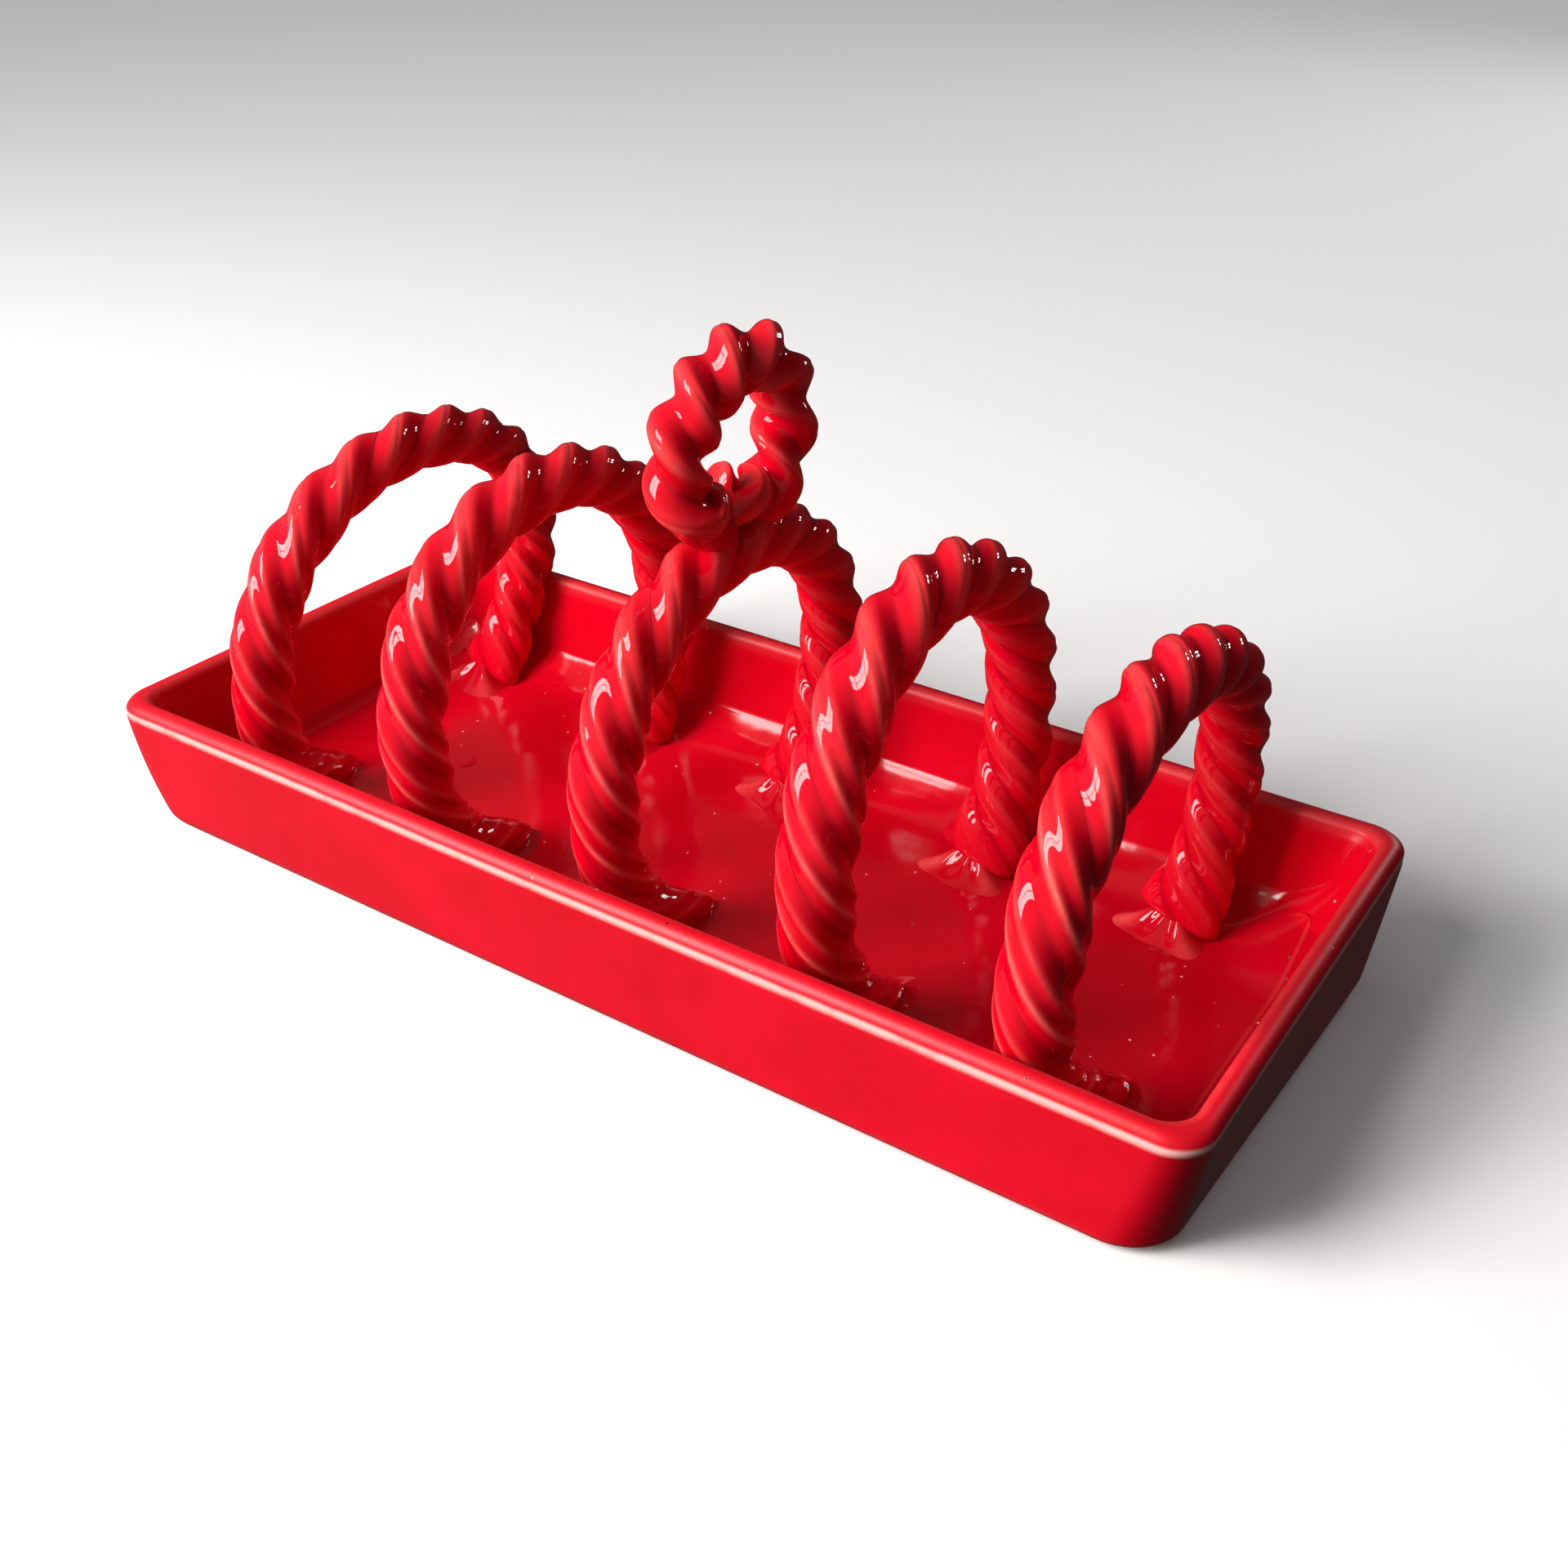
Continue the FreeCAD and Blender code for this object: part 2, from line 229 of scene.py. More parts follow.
def coil_mesh(points, middle, turns, profile, lobes, scales):
    """Vertices, faces and glaze values of one coil: a sector of the rope, closed to its centre.

    points is the rope's centre line and middle the point it bends round. turns is how far round
    the rope the coil lies at each point. profile holds the radius, the thinness with its painted
    highlight and the pooling with its painted shade at each step along and around the coil, and
    scales the rope's relative thickness sideways and in depth.
    """
    count = len(points)
    along = np.gradient(points, axis=0)
    along /= np.linalg.norm(along, axis=1)[:, None]
    outward = np.cross(ALONG_TRAY, along)
    outward /= np.linalg.norm(outward, axis=1)[:, None]
    flip = np.sum(outward * (points - middle), axis=1) < 0
    outward[flip] *= -1
    sideways = np.cross(along, outward)
    half = math.pi / lobes
    bearing = np.linspace(-half, half, STEPS_AROUND)
    radius, thin_glaze_and_highlight, pool_and_shade = profile
    angle = 2 * math.pi * turns[:, None] + bearing[None, :]
    across = sideways[:, None, :]
    offset = np.cos(angle)[..., None] * outward[:, None, :] + np.sin(angle)[..., None] * across
    skin = offset * radius[..., None]
    inner = np.zeros((count, 3, 3))
    inner[:, 0] = skin[:, -1] * 0.5
    inner[:, 2] = skin[:, 0] * 0.5
    rows = np.concatenate([skin, inner], axis=1)
    side_part = np.sum(rows * across, axis=2, keepdims=True)
    side_scale, deep_scale = (scale[:, None, None] for scale in scales)
    rest = rows - side_part * across
    rows = rest * deep_scale + side_part * side_scale * across + points[:, None, :]
    wide = rows.shape[1]
    vertices = rows.reshape(-1, 3)
    fill = np.zeros((count, 3))
    thin_glaze_and_highlight = np.append(np.concatenate([thin_glaze_and_highlight, fill], axis=1).reshape(-1), [0.0, 0.0])
    pool_and_shade = np.append(np.concatenate([pool_and_shade, fill], axis=1).reshape(-1), [0.0, 0.0])
    faces = grid_faces(count, wide)
    first_end, last_end = len(vertices), len(vertices) + 1
    vertices = np.concatenate([vertices, [rows[0].mean(0)], [rows[-1].mean(0)]])
    for j in range(wide):
        k = (j + 1) % wide
        faces.append((first_end, k, j))
        faces.append((last_end, (count - 1) * wide + j, (count - 1) * wide + k))
    return vertices, faces, {"thin_glaze_and_highlight": thin_glaze_and_highlight, "pool_and_shade": pool_and_shade, "rim": np.zeros(len(thin_glaze_and_highlight))}, wide


def valley_edges(wide, count):
    """A test for the edges that run along a coil's two valleys, where it meets its neighbours."""
    def test(ends):
        inside = (ends < wide * count).all(axis=1)
        column = ends % wide
        same = column[:, 0] == column[:, 1]
        valley = (column[:, 0] == 0) | (column[:, 0] == STEPS_AROUND - 1)
        return inside & same & valley
    return test


def end_rounding(run, total, near_nose, far_nose):
    """1 along the line, falling to 0 at both ends like the end of a rounded stick."""
    near = np.clip(run / near_nose, 0, 1)
    far = np.clip((total - run) / far_nose, 0, 1)
    return np.sqrt(np.clip(1 - (1 - near) ** 2, 0, 1)) * np.sqrt(np.clip(1 - (1 - far) ** 2, 0, 1))


tray_high = box_mm("tray")[1]
FLOOR = box_mm("arch_one_pad_near")[0][2]
rope_pieces = []


def make_arch(arch):
    """The three coils of an arch, twisted round a line from its near toe to its far toe."""
    low, high = joined_box([f"arch_{arch}_coil_{name}" for name in COILS])
    far_low, far_high = box_mm(f"arch_{arch}_pad_far")
    near_low, near_high = box_mm(f"arch_{arch}_pad_near")
    place = (far_low[0] + far_high[0]) / 2
    drift = (near_low[0] + near_high[0]) / 2 - place
    toe = TOE_REACH[arch]
    reach = (high[1] - low[1]) / 2 - ROPE_RADIUS + 0.1
    crown = high[2] - ROPE_RADIUS + 0.1
    rise = crown - SPRING_HEIGHT
    # The box shows the lean at the spring height, so it is scaled up to the crown.
    lean = (low[1] + high[1]) / 2 * (crown - FLOOR) / (SPRING_HEIGHT - FLOOR)
    points = [
        (drift * 1.2, -(reach - toe), FLOOR + 0.4),
        (drift * 0.85, -(reach - toe * 0.62), FLOOR + 3.0),
        (drift * 0.22, -(reach - 6.0), FLOOR + 9.2),
        (0, -(reach - 1.2), FLOOR + 22.0),
    ]
    for bearing in (0, 30, 60):
        angle = math.radians(bearing)
        points.append((0, -reach * math.cos(angle), SPRING_HEIGHT + rise * math.sin(angle)))
    points.append((0, 0.0, crown))
    for bearing in (60, 30, 0):
        angle = math.radians(bearing)
        points.append((0, reach * math.cos(angle), SPRING_HEIGHT + rise * math.sin(angle)))
    points += [
        (0, reach - 1.6, FLOOR + 21.2),
        (-1.2, reach - 4.2, FLOOR + 9.5),
        (-3.4, reach - 7.6, FLOOR + 0.6),
    ]
    points = np.array(points)
    height = (points[:, 2] - FLOOR) / (crown - FLOOR)
    points[:, 0] += place + SLANT[arch] * height + SHIFT[arch][0]
    points[:, 1] += lean * height + SHIFT[arch][1]
    points[:, 2] += SHIFT[arch][2] * height
    centre, run = spline_through(points, ARCH_STATIONS)
    total = run[-1]
    seed = SEED[arch]

    # A hand-made line wanders a little, and its coils are not evenly wound.
    sway = np.stack([line_noise(run, 45, seed + k) for k in range(3)], 1) * (0.45, 0.35, 0.3)
    sway *= smoothstep(0, 30, run)[:, None] * smoothstep(0, 30, total - run)[:, None]
    centre = centre + sway
    share = run / total
    lays = (NEAR_LAY, NEAR_LAY * 0.94, CROWN_LAY[arch], FAR_LAY, FAR_LAY)
    lay = np.interp(share, (0, 0.3, 0.5, 0.62, 1), lays)
    lay = lay * (1 + 0.05 * line_noise(run, 40, seed + 5))
    turned = np.concatenate([[0], np.cumsum((run[1:] - run[:-1]) / lay[:-1])])
    turns = START_TURN[arch] - turned

    # The rope narrows towards its toes and is pressed flat where they are joined to the floor.
    nose = end_rounding(run, total, 15.0, 2.6) * GIRTH[arch]
    tail = 1 - smoothstep(0, 24, run)
    foot = 1 - smoothstep(0, 17, total - run)
    side_scale = nose * (1 - 0.22 * tail + 0.45 * foot)
    deep_scale = nose * (1 - 0.36 * tail - 0.20 * foot)
    flat = 0.15 + 0.85 * (1 - smoothstep(0.26, 0.48, share)) + 0.45 * smoothstep(0.66, 0.85, share)
    middle = np.array([place, 0, SPRING_HEIGHT])
    window = np.cos(np.linspace(-1, 1, STEPS_AROUND) * math.pi / 2) ** 2
    for number, name in enumerate(COILS):
        own = flat + 0.18 * line_noise(run, 16, seed + 20 + number)
        own = np.clip(own, 0, 1)[None, :, None]
        profile = own * FLAT_LOBE[:, None, :] + (1 - own) * ROUND_LOBE[:, None, :]
        profile[0] *= 1 + 0.035 * line_noise(run, 11, seed + 30 + number)[:, None] * window
        melted = np.maximum(0.65 * tail, 0.85 * foot)[:, None]
        profile[0] += melted * (6.1 - profile[0])
        # The pale lines fade on the toes, and over the far half of the arch they are weakened as
        # painted shade.
        profile[1] *= (1 - melted) * (1 - 0.55 * smoothstep(0.54, 0.70, share))[:, None]
        vertices, faces, values, wide = coil_mesh(
            centre, middle, turns + number / 3, profile, 3, (side_scale, deep_scale)
        )
        vertices[:, 2] = np.maximum(vertices[:, 2], FLOOR - 0.4)
        piece = new_piece(
            f"rope_{arch}_{name}", vertices, faces, values,
            [f"arch_{arch}_coil_{name}"], valley_edges(wide, ARCH_STATIONS),
        )
        rope_pieces.append(piece)


def make_foot(arch, side):
    """The glaze-filled smear of clay where one foot of an arch meets the floor."""
    low, high = box_mm(f"arch_{arch}_pad_{side}")
    centre = (low + high) / 2 + (*SHIFT[arch][:2], 0)
    base = (high[0] - low[0]) / 2
    seed = SEED[arch] + (70 if side == "near" else 90)
    rng = np.random.default_rng(seed)
    around, rings = 120, 26
    under_floor = FLOOR - 0.7
    theta = np.linspace(0, 2 * math.pi, around, endpoint=False)
    # Each finger has its bearing, how far it reaches beyond the edge and how wide it is.
    if side == "near":
        heading = math.radians(72)
        along = np.cos(theta - heading)
        radius = base * (0.84 + 0.26 * along**2)
        top, slope = 1.0, 1.6
        fingers = [(heading + 0.1, 0.16, 0.20), (heading - 2.4, 0.08, 0.3)]
    else:
        centre = centre + (-3.2, 0.6, 0)
        base = base * 1.28
        fingers = [
            (math.radians(206 + rng.uniform(-8, 8)), 0.42, 0.30),
            (math.radians(316 + rng.uniform(-10, 10)), 0.34, 0.30),
            (math.radians(262 + rng.uniform(-10, 10)), 0.12, 0.40),
        ]
        radius = base * (0.90 + 0.06 * np.sin(theta))
        top, slope = 6.8, 2.0
    ridge = np.zeros(around)
    for angle, gain, width in fingers:
        gap = (theta - angle + math.pi) % (2 * math.pi) - math.pi
        bump = np.exp(-0.5 * (gap / width) ** 2)
        radius = radius * (1 + gain * bump)
        ridge = np.maximum(ridge, bump * gain / 0.34)
    circle = np.stack([np.cos(theta), np.sin(theta), np.zeros(around)], 1)
    radius = radius * (1 + 0.05 * wave_noise(circle * 10, 6, seed))
    vertices, thin_glaze_and_highlight = [], []
    for ring in range(rings):
        share = ring / (rings - 1)
        flat = centre + circle * (radius * share)[:, None]
        swell = (1 - share) ** slope
        height = top * swell + 1.4 * ridge * (1 - share) ** 1.1 * smoothstep(0.1, 0.4, share)
        height = height * (1 + 0.03 * wave_noise(flat, 12, seed + 1)) - 0.34 * share**6
        flat[:, 2] = FLOOR + height
        vertices.append(flat)
        on_ridge = smoothstep(0.3, 0.7, share) * (1 - smoothstep(0.93, 1.0, share))
        thin_glaze_and_highlight.append(0.35 * ridge**3 * on_ridge)
    under = centre + circle * (radius * 0.999)[:, None]
    under[:, 2] = under_floor
    vertices.append(under)
    thin_glaze_and_highlight.append(np.zeros(around))
    vertices.append(np.array([[centre[0], centre[1], under_floor]]))
    thin_glaze_and_highlight.append([0.0])
    vertices = np.concatenate(vertices)
    faces = grid_faces(rings + 1, around, flipped=True)
    last = len(vertices) - 1
    for j in range(around):
        faces.append((rings * around + j, last, rings * around + (j + 1) % around))
    thin_glaze_and_highlight = np.concatenate(thin_glaze_and_highlight)
    zero = np.zeros(len(thin_glaze_and_highlight))
    # The whole smear is painted darker, as pooled glaze and painted shade where the foot meets the
    # floor.
    values = {"thin_glaze_and_highlight": thin_glaze_and_highlight, "pool_and_shade": zero + 0.7, "rim": zero}
    rope_pieces.append(new_piece(
        f"foot_{arch}_{side}", vertices, faces, values, [f"arch_{arch}_pad_{side}"]
    ))


def make_ring():
    """The ring handle: two fat coils twisted round a small loop, on the middle arch's crown."""
    low, high = joined_box(["ring_coil_a", "ring_coil_b"])
    place = (low[0] + high[0]) / 2
    radius = 14.6
    centre = np.array([place, (low[1] + high[1]) / 2 - 0.3, high[2] - radius - 6.7])
    start, sweep = 236.0, 355.0
    share = np.linspace(0, 1, RING_STATIONS)
    bearing = np.radians(start - sweep * share)
    # Both ends are drawn in to the crown, the first side bulges and the last side is flatter.
    bulge = 3.2 * (1 - smoothstep(0.08, 0.34, share))
    drawn_in = 4.5 * smoothstep(0.78, 1.0, share)
    own_radius = radius + bulge - drawn_in
    flatter = 1.0 * np.exp(-(((share - 0.72) / 0.10) ** 2))
    own_radius -= 4.0 * (1 - smoothstep(0, 0.07, share)) + flatter
    lean = -2.2 * smoothstep(0.86, 1.0, share) + 2.4 * (1 - smoothstep(0, 0.16, share))
    points = np.stack([
        centre[0] + lean + 0.05 * own_radius * np.cos(bearing),
        centre[1] + own_radius * np.cos(bearing),
        centre[2] + own_radius * np.sin(bearing) * 1.02,
    ], 1)
    run = np.concatenate([[0], np.cumsum(np.linalg.norm(np.diff(points, axis=0), axis=1))])
    total = run[-1]
    lay = (18.4 + 3.6 * smoothstep(0.36, 0.58, share)) * (1 + 0.04 * line_noise(run, 30, 77))
    turned = np.concatenate([[0], np.cumsum((run[1:] - run[:-1]) / lay[:-1])])
    nose = end_rounding(run, total, 2.2, 1.8)
    window = np.cos(np.linspace(-1, 1, STEPS_AROUND) * math.pi / 2) ** 2
    for number, name in enumerate(("a", "b")):
        profile = np.repeat(RING_LOBE[:, None, :], RING_STATIONS, axis=1)
        profile[0] *= 1 + 0.045 * line_noise(run, 12, 80 + number)[:, None] * window
        wrinkle = line_noise(run, 1.1, 90 + number) * (1 - smoothstep(0.03, 0.16, share))
        profile[0] += 0.16 * wrinkle[:, None]
        # The start of the coils, tucked against the crown, is painted darker, as pooled glaze and
        # painted shade.
        profile[2] += 1.2 * (1 - smoothstep(0.01, 0.05, share))[:, None]
        turns = 0.12 - turned + number / 2
        vertices, faces, values, wide = coil_mesh(points, centre, turns, profile, 2, (nose, nose))
        piece = new_piece(
            f"ring_{name}", vertices, faces, values, [f"ring_coil_{name}"],
            valley_edges(wide, RING_STATIONS),
        )
        rope_pieces.append(piece)


# ---------------------------------------------------------------- the tray

def rounded_ring(half_x, half_y, corner):
    """Points round a rounded rectangle, counter-clockwise from the near right corner."""
    corner = min(corner, half_x - 0.01, half_y - 0.01)
    x, y = half_x - corner, half_y - corner
    points = []
    for cx, cy, first, run_to in (
        (x, -y, 270, (x, y)), (x, y, 0, (-x, y)), (-x, y, 90, (-x, -y)), (-x, -y, 180, (x, -y)),
    ):
        for step in range(CORNER_STEPS):
            angle = math.radians(first + 90 * step / CORNER_STEPS)
            points.append((cx + corner * math.cos(angle), cy + corner * math.sin(angle)))
        last = math.radians(first + 90)
        reach = np.array([corner * math.cos(last), corner * math.sin(last)])
        start, end = np.array([cx, cy]) + reach, np.array(run_to) + reach
        steps = SHORT_SIDE_STEPS if first in (270, 90) else LONG_SIDE_STEPS
        points += [tuple(start + (end - start) * (step / steps)) for step in range(steps)]
    return np.array(points)


def fillet(before, corner, after, radius, steps):
    """Points of a rounded corner in a profile."""
    before, corner, after = (np.array(p, float) for p in (before, corner, after))
    a = (before - corner) / np.linalg.norm(before - corner)
    b = (after - corner) / np.linalg.norm(after - corner)
    half = math.acos(np.clip(a @ b, -1, 1)) / 2
    reach = radius / math.tan(half)
    middle = corner + (a + b) / np.linalg.norm(a + b) * radius / math.sin(half)
    start, end = corner + a * reach - middle, corner + b * reach - middle
    sweep = math.acos(np.clip(start @ end / radius**2, -1, 1))
    out = []
    for step in range(steps + 1):
        t = step / steps
        turned = math.sin((1 - t) * sweep) * start + math.sin(t * sweep) * end
        out.append(middle + turned / math.sin(sweep))
    return out


def make_tray():
    """The tray: flared walls with a soft lip, a coved and slightly uneven floor, a bare foot."""
    half_x, half_y = tray_high[0], tray_high[1]
    top = tray_high[2]
    flare, wall = 4.6, 4.6
    foot = (flare, 0.0)
    rim_out, rim_in = (0.0, top), (wall, top)
    floor_inset = wall + flare * (1 - FLOOR / top)
    bottom_in = (floor_inset, FLOOR)
    profile, rim, thin_glaze_and_highlight, bare = [], [], [], []

    def add(points, rim_value=0.0, thin_value=0.0, bare_value=0.0):
        for number, point in enumerate(points):
            profile.append(point)
            share = number / max(1, len(points) - 1)
            rim.append(rim_value(share) if callable(rim_value) else rim_value)
            thin_glaze_and_highlight.append(thin_value(share) if callable(thin_value) else thin_value)
            bare.append(bare_value(share) if callable(bare_value) else bare_value)

    # The section starts under the tray, runs out to its foot and up the outside, goes over the
    # lip and down the inside, and ends near the middle of the floor.
    add([(floor_inset + 8, 0.45), (floor_inset + 1.2, 0.45)], bare_value=1.0)
    add([(floor_inset + 0.4, 0.12), (floor_inset - 0.4, 0.0), (flare + 3.4, 0.0)], bare_value=1.0)
    add(
        fillet((flare + 3.0, 0.0), foot, rim_out, 3.4, 12),
        thin_value=lambda s: 0.35 * math.sin(math.pi * s),
        bare_value=lambda s: 1.0 - min(1.0, s * 8),
    )
    for share in np.linspace(0.16, 0.86, 16):
        add([(flare * (1 - share), top * share)])
    lip_start = len(profile)
    lip_out = fillet(foot, rim_out, rim_in, 2.3, 16)
    # The pale line on the outer lip is partly thin glaze and partly a painted highlight.
    add(lip_out, rim_value=lambda s: math.exp(-0.5 * ((s - 0.08) / 0.13) ** 2))
    lip_in = fillet(rim_out, rim_in, bottom_in, 2.0, 12)
    add(lip_in, thin_value=lambda s: 0.28 * math.sin(math.pi * s))
    for share in np.linspace(0.18, 0.70, 10):
        add([(wall + (floor_inset - wall) * share, top + (FLOOR - top) * share)])
    add(fillet(rim_in, bottom_in, (floor_inset + 20, FLOOR), 5.0, 16))
    cove_end = len(profile) - 1
    inset = profile[-1][0]
    for extra in (0.6, 1.3, 2.2, 3.4, 5.0, 7.0, 9.5, 12.5, 16, 20, 24, 28, 32, 35.5, 38.2):
        add([(inset + extra, FLOOR)])
    rings = []
    rim_corner = 7.0
    for number, (inset, height) in enumerate(profile):
        corner = rim_corner - inset * (0.25 if height > FLOOR + 0.01 else 0.55)
        if number < lip_start:
            corner = rim_corner + 2.8 * (1 - height / top)
        ring = rounded_ring(half_x - inset, half_y - inset, max(corner, 0.8))
        rings.append(np.column_stack([ring, np.full(len(ring), height)]))
    around = len(rings[0])
    vertices = np.concatenate(rings)
    rim_all, thin_all, bare_all = (
        np.repeat(np.array(numbers, float), around) for numbers in (rim, thin_glaze_and_highlight, bare)
    )

    # The outside: the base sits a little left of the rim and nearer, and the left end is bowed. At
    # the right end the base runs out, most at the far corner, and tucks in at the near corner.
    level = smoothstep(0, 3, vertices[:, 2] - 0.6)
    low_share = 1 - np.clip(vertices[:, 2] / top, 0, 1)
    outer = np.arange(len(vertices)) < around * lip_start
    warp = smoothstep(50, 112, vertices[:, 0]) * (-2.5 - 1.9 * vertices[:, 1] / half_y)
    bow = 1.5 * np.sin(math.pi * low_share) * smoothstep(50, 112, -vertices[:, 0])
    vertices[:, 0] -= (bow + (1.2 + warp) * low_share) * outer
    vertices[:, 1] -= 1.1 * low_share * outer
    vertices[:, 0] += level * 0.22 * wave_noise(vertices, 60, 301)
    vertices[:, 1] += level * 0.22 * wave_noise(vertices, 60, 302)

    # The inside: its corners and the foot of the far wall are filled, and its floor is uneven.
    bowl = np.arange(len(vertices)) >= around * (lip_start + len(lip_out) + len(lip_in))
    to_corner = np.hypot(
        half_x - floor_inset - np.abs(vertices[:, 0]), half_y - floor_inset - np.abs(vertices[:, 1])
    )
    depth = np.clip((top - vertices[:, 2]) / (top - FLOOR), 0, 1)
    far_right = smoothstep(60, 100, vertices[:, 0]) * smoothstep(0, 30, vertices[:, 1])
    corner_fill = (4.5 + 8.5 * far_right) * np.clip(1 - to_corner / (22 + 5 * far_right), 0, 1) ** 2
    to_far_wall = np.maximum(half_y - floor_inset - vertices[:, 1], 0)
    far_fill = 4.2 * np.exp(-((to_far_wall / 6.0) ** 2))
    vertices[:, 2] += bowl * depth * np.maximum(corner_fill, far_fill)
    inside = bowl & (vertices[:, 2] <= FLOOR + 6)
    vertices[:, 2] += inside * 0.16 * wave_noise(vertices, 28, 303)
    rim_wave = smoothstep(top - 5, top, vertices[:, 2])
    vertices[:, 2] += rim_wave * 0.16 * wave_noise(vertices, 70, 304)
    vertices[:, 2] += 0.9 * smoothstep(FLOOR + 4, top, vertices[:, 2])
    # The last ring, on the floor, is closed by a strip, and so is the first, under the foot.
    faces = grid_faces(len(profile), around)
    faces += strip_fill((len(profile) - 1) * around, around, True)
    faces += strip_fill(0, around, False)

    # A pale line runs along the crease at the right end. The cove is painted darker, as pooled
    # glaze and painted shade, and so is the floor towards the right end, where it is a painted
    # shadow.
    crease = slice(cove_end * around, (cove_end + 1) * around)
    thin_all[crease] += 0.22 * smoothstep(half_x - 18, half_x - 14, vertices[crease, 0])
    pool_and_shade = np.zeros(len(vertices))
    cove_band = (vertices[:, 2] > FLOOR - 0.3) & (vertices[:, 2] < FLOOR + 3.0) & (bare_all < 0.5)
    distance = np.minimum(half_x - np.abs(vertices[:, 0]), half_y - np.abs(vertices[:, 1]))
    # The cove is painted darker: pooled glaze and painted shade in the crease.
    pool_and_shade += cove_band * np.exp(-0.5 * ((distance - floor_inset - 1.0) / 2.0) ** 2) * 0.7
    # The floor is painted darker towards the right end: a painted shadow.
    pool_and_shade += inside * 0.85 * smoothstep(-10, 95, vertices[:, 0]) * smoothstep(4, 8, distance)
    values = {"thin_glaze_and_highlight": thin_all, "pool_and_shade": pool_and_shade, "rim": rim_all, "bare": bare_all}
    return new_piece("tray_body", vertices, faces, values, ["tray"])


def strip_fill(first, around, upward):
    """Quads across a long thin ring, joining each point to its mirror."""
    faces = []
    # The ring runs right wall, far wall, left wall, near wall. Pair points from the middle of the
    # right wall outward, one going along the far wall and the other back along the near wall.
    middle = CORNER_STEPS + SHORT_SIDE_STEPS // 2
    for step in range(around // 2):
        corners = (middle + step, middle + step + 1, middle - step - 1, middle - step)
        quad = [first + corner for corner in dict.fromkeys(c % around for c in corners)]
        if len(quad) >= 3:
            faces.append(tuple(quad if upward else quad[::-1]))
    return faces


# ---------------------------------------------------------------- glaze

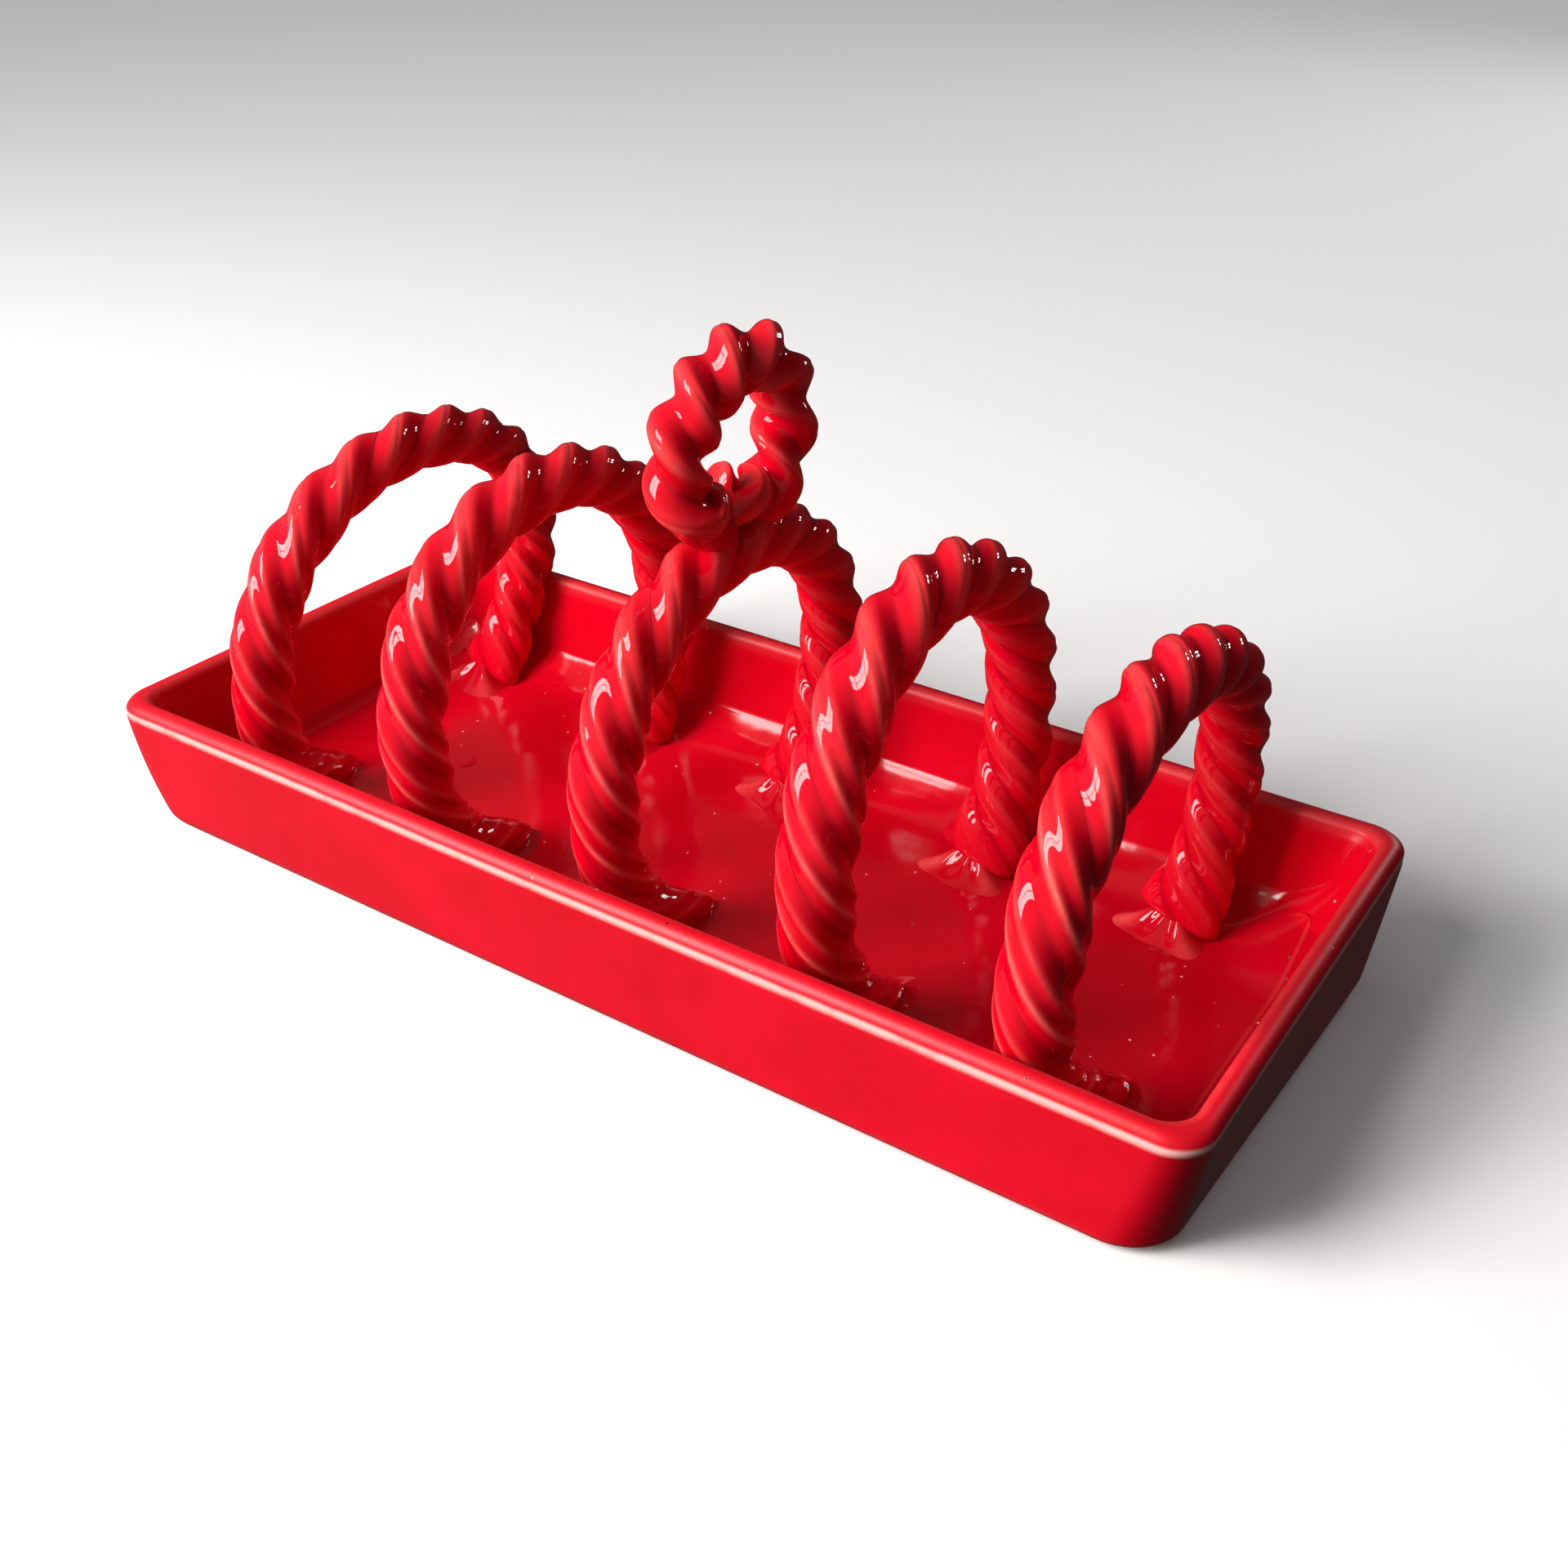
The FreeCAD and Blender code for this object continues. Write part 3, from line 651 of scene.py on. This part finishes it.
def glaze(name, seed, speck_amount, has_bare_foot):
    """Deep red glossy glaze: pale on edges, as thin glaze and painted highlight, dark in hollows,
    as pooled glaze and painted shade, with a few specks.
    """
    material = bpy.data.materials.new(name)
    material.use_nodes = True
    tree = material.node_tree
    nodes, links = tree.nodes, tree.links
    shader = nodes["Principled BSDF"]
    place = nodes.new("ShaderNodeTexCoord").outputs["Object"]

    def value(key):
        node = nodes.new("ShaderNodeAttribute")
        node.attribute_name = key
        return node.outputs["Fac"]

    def noise(scale, detail=2.0, rough=0.5, shift=0.0):
        mapping = nodes.new("ShaderNodeMapping")
        mapping.inputs["Location"].default_value = (seed + shift, seed * 0.7, shift)
        links.new(place, mapping.inputs["Vector"])
        node = nodes.new("ShaderNodeTexNoise")
        node.inputs["Scale"].default_value = scale
        node.inputs["Detail"].default_value = detail
        node.inputs["Roughness"].default_value = rough
        links.new(mapping.outputs["Vector"], node.inputs["Vector"])
        return node.outputs["Fac"]

    def ramp(source, low, high, out_low=0.0, out_high=1.0):
        node = nodes.new("ShaderNodeMapRange")
        node.interpolation_type = "SMOOTHSTEP"
        node.inputs["From Min"].default_value = low
        node.inputs["From Max"].default_value = high
        node.inputs["To Min"].default_value = out_low
        node.inputs["To Max"].default_value = out_high
        links.new(source, node.inputs["Value"])
        return node.outputs["Result"]

    def math_node(kind, a, b):
        node = nodes.new("ShaderNodeMath")
        node.operation = kind
        for socket, item in zip(node.inputs, (a, b)):
            if isinstance(item, (int, float)):
                socket.default_value = item
            else:
                links.new(item, socket)
        return node.outputs["Value"]

    def mix(factor, a, b):
        node = nodes.new("ShaderNodeMix")
        node.data_type = "RGBA"
        for socket, item in zip((node.inputs[0], node.inputs[6], node.inputs[7]), (factor, a, b)):
            if isinstance(item, tuple):
                socket.default_value = (*item, 1.0)
            elif isinstance(item, (int, float)):
                socket.default_value = item
            else:
                links.new(item, socket)
        return node.outputs[2]

    # Body colour, darker where the glaze pools and shade is painted, paler where it is thin and
    # highlights are painted, palest along the rim, which is partly a painted highlight.
    body = mix(ramp(noise(38, 3), 0.3, 0.7), (0.60, 0.0006, 0.010), (0.71, 0.0012, 0.016))
    pooled_and_shaded = mix(math_node("MULTIPLY", value("pool_and_shade"), 0.4), body, (0.22, 0.0, 0.004))
    thin_glaze_and_highlight = math_node("MULTIPLY", value("thin_glaze_and_highlight"), ramp(noise(260, 3, 0.6, 3.0), 0.25, 0.6, 0.55, 1.0))
    crest = mix(thin_glaze_and_highlight, pooled_and_shaded, (0.88, 0.105, 0.095))
    mottle = ramp(noise(420, 2, 0.5, 5.0), 0.52, 0.72, 0.0, 0.35)
    paler = math_node("MULTIPLY", ramp(thin_glaze_and_highlight, 0.75, 1.0), mottle)
    crest = mix(paler, crest, (0.80, 0.26, 0.17))
    # The pale line along the lip is partly thin glaze and partly a painted highlight.
    rim = math_node("MULTIPLY", value("rim"), ramp(noise(120, 3, 0.6, 7.0), 0.3, 0.52, 0.75, 1.0))
    rim_line = mix(ramp(rim, 0.15, 1.0), crest, (0.90, 0.46, 0.42))

    # Specks: a few pale and dark dots, only where the surface faces up.
    cells = nodes.new("ShaderNodeTexVoronoi")
    cells.inputs["Scale"].default_value = 260.0
    links.new(place, cells.inputs["Vector"])
    pick = nodes.new("ShaderNodeSeparateColor")
    links.new(cells.outputs["Color"], pick.inputs["Color"])
    dot = ramp(cells.outputs["Distance"], 0.045, 0.085, 1.0, 0.0)
    normal = nodes.new("ShaderNodeSeparateXYZ")
    links.new(nodes.new("ShaderNodeNewGeometry").outputs["Normal"], normal.inputs["Vector"])
    dot = math_node("MULTIPLY", dot, ramp(normal.outputs["Z"], 0.35, 0.7))
    is_pale = ramp(pick.outputs["Red"], 1 - speck_amount, 1 - speck_amount * 0.9)
    is_dark = ramp(pick.outputs["Green"], 1 - speck_amount * 0.6, 1 - speck_amount * 0.5)
    pale_dot = math_node("MULTIPLY", dot, is_pale)
    dark_dot = math_node("MULTIPLY", dot, is_dark)
    specked = mix(pale_dot, rim_line, (0.90, 0.46, 0.34))
    specked = mix(dark_dot, specked, (0.06, 0.0, 0.002))
    satin = ramp(noise(70, 3, 0.5, 9.0), 0.3, 0.7, 0.20, 0.30)
    if has_bare_foot:
        bare = value("bare")
        clay = mix(ramp(noise(900, 3), 0.3, 0.7), (0.58, 0.44, 0.34), (0.70, 0.56, 0.45))
        links.new(mix(bare, specked, clay), shader.inputs["Base Color"])
        rougher = math_node("MULTIPLY", bare, 0.5)
        links.new(math_node("ADD", satin, rougher), shader.inputs["Roughness"])
        links.new(math_node("SUBTRACT", 1.0, bare), shader.inputs["Coat Weight"])
        position = nodes.new("ShaderNodeSeparateXYZ")
        links.new(place, position.inputs["Vector"])
        duller_lip = ramp(position.outputs["Z"], 0.0245, 0.0275, 0.12, 0.42)
        links.new(duller_lip, shader.inputs["Coat Roughness"])
    else:
        links.new(specked, shader.inputs["Base Color"])
        links.new(satin, shader.inputs["Roughness"])
        shader.inputs["Coat Weight"].default_value = 1.0
        shader.inputs["Coat Roughness"].default_value = 0.03
    shader.inputs["Specular IOR Level"].default_value = 0.0
    shader.inputs["Coat IOR"].default_value = 1.45

    # A gentle ripple in the glaze, with a fine grain and raised specks.
    ripple = noise(85, 2, 0.5, 11.0)
    grain = math_node("MULTIPLY", noise(700, 2, 0.5, 13.0), 0.05)
    bump = nodes.new("ShaderNodeBump")
    bump.inputs["Strength"].default_value = 0.35
    bump.inputs["Distance"].default_value = 0.0006
    height = math_node("ADD", ripple, grain)
    height = math_node("ADD", height, math_node("MULTIPLY", pale_dot, 0.10))
    links.new(height, bump.inputs["Height"])
    links.new(bump.outputs["Normal"], shader.inputs["Normal"])
    links.new(bump.outputs["Normal"], shader.inputs["Coat Normal"])
    return material


tray = make_tray()
for arch_name in ARCHES:
    make_arch(arch_name)
    for foot_side in ("near", "far"):
        make_foot(arch_name, foot_side)
make_ring()

tray.data.materials.append(glaze("tray_glaze", 1.0, 0.55, True))
rope_material = glaze("rope_glaze", 4.0, 0.06, False)
for piece in rope_pieces:
    piece.data.materials.append(rope_material)

# ---------------------------------------------------------------- floor, light and camera

floor_mesh = bpy.data.meshes.new("studio_floor")
floor_mesh.from_pydata([(-6, -6, 0), (6, -6, 0), (6, 6, 0), (-6, 6, 0)], [], [(0, 1, 2, 3)])
floor = bpy.data.objects.new("studio_floor", floor_mesh)
bpy.context.scene.collection.objects.link(floor)
floor.visible_diffuse = False
floor.visible_glossy = False
paper = bpy.data.materials.new("paper")
paper.use_nodes = True
paper_shader = paper.node_tree.nodes["Principled BSDF"]
paper_shader.inputs["Base Color"].default_value = (0.96, 0.955, 0.95, 1)
paper_shader.inputs["Roughness"].default_value = 0.9
paper_shader.inputs["Specular IOR Level"].default_value = 0.1
floor_mesh.materials.append(paper)

# The room is brightest on the side of the window, low on the left in front of the object.
world = bpy.data.worlds.new("studio")
bpy.context.scene.world = world
world.use_nodes = True
sky = world.node_tree
back = sky.nodes["Background"]
back.inputs["Strength"].default_value = 0.30
direction = sky.nodes.new("ShaderNodeTexCoord").outputs["Generated"]
facing = sky.nodes.new("ShaderNodeVectorMath")
facing.operation = "DOT_PRODUCT"
facing.inputs[1].default_value = (-0.50, -0.74, 0.45)
sky.links.new(direction, facing.inputs[0])
fade = sky.nodes.new("ShaderNodeMapRange")
fade.interpolation_type = "SMOOTHSTEP"
fade.inputs["From Min"].default_value = -0.4
fade.inputs["From Max"].default_value = 0.9
fade.inputs["To Min"].default_value = 0.07
fade.inputs["To Max"].default_value = 1.0
sky.links.new(facing.outputs["Value"], fade.inputs["Value"])
tint = sky.nodes.new("ShaderNodeMix")
tint.data_type = "RGBA"
tint.inputs[6].default_value = (0, 0, 0, 1)
tint.inputs[7].default_value = (1.0, 0.99, 0.98, 1)
sky.links.new(fade.outputs["Result"], tint.inputs[0])
sky.links.new(tint.outputs[2], back.inputs["Color"])

aim = (cad_box[0] + cad_box[1]) / 2


def soft_light(name, toward, distance, wide, tall, power, offset, colour=(1, 1, 1)):
    """A rectangular soft light that looks back at the object from a direction.

    offset moves it sideways and up in its own plane.
    """
    light = bpy.data.lights.new(name, "AREA")
    light.shape = "RECTANGLE"
    light.size, light.size_y = wide, tall
    light.energy = power
    light.color = colour
    lamp = bpy.data.objects.new(name, light)
    bpy.context.scene.collection.objects.link(lamp)
    toward = Vector(toward).normalized()
    turn = toward.to_track_quat("Z", "Y")
    lamp.rotation_mode = "QUATERNION"
    lamp.rotation_quaternion = turn
    lamp.location = aim + toward * distance + turn @ Vector((offset[0], offset[1], 0))


# A window of four panes in front, and a narrow one of two panes far behind.
WINDOW_TOWARD, SKYLIGHT_TOWARD = (-0.47, -0.69, 0.60), (0.20, 0.90, 0.36)
for column in (-1, 1):
    for row in (-1, 1):
        soft_light(
            f"window_{column}_{row}", WINDOW_TOWARD, 0.85, 0.20, 0.26, 2.5,
            (column * 0.112, row * 0.142), (1.0, 0.985, 0.97),
        )
for column in (-1, 1):
    soft_light(f"skylight_{column}", SKYLIGHT_TOWARD, 1.4, 0.09, 0.19, 1.0, (column * 0.075, 0))

# Broad daylight from the same side as the window, which makes no highlight of its own.
daylight = bpy.data.lights.new("daylight", "SUN")
daylight.energy = 2.7
daylight.angle = math.radians(36)
daylight.color = (1.0, 0.99, 0.98)
sun = bpy.data.objects.new("daylight", daylight)
bpy.context.scene.collection.objects.link(sun)
sun.rotation_mode = "QUATERNION"
sun.rotation_quaternion = Vector((-0.64, -0.70, 0.30)).to_track_quat("Z", "Y")
sun.visible_glossy = False

camera_data = bpy.data.cameras.new("camera")
camera_data.sensor_width = 36.0
camera_data.lens = 39.41
camera_data.clip_start = 0.01
camera_data.clip_end = 20
camera = bpy.data.objects.new("camera", camera_data)
bpy.context.scene.collection.objects.link(camera)
eye = Vector((168.9, -237.6, 197.4)) * MM
target = Vector((17.95, -6.92, 33.3)) * MM
forward = (target - eye).normalized()
right = forward.cross(Vector((0, 0, 1))).normalized()
up = right.cross(forward)
roll = math.radians(0.99)
axis_x = right * math.cos(roll) + up * math.sin(roll)
axis_y = up * math.cos(roll) - right * math.sin(roll)
turned = Matrix((axis_x, axis_y, -forward)).transposed().to_4x4()
camera.matrix_world = Matrix.Translation(eye) @ turned
bpy.context.scene.camera = camera
bpy.context.scene.view_settings.view_transform = "Standard"
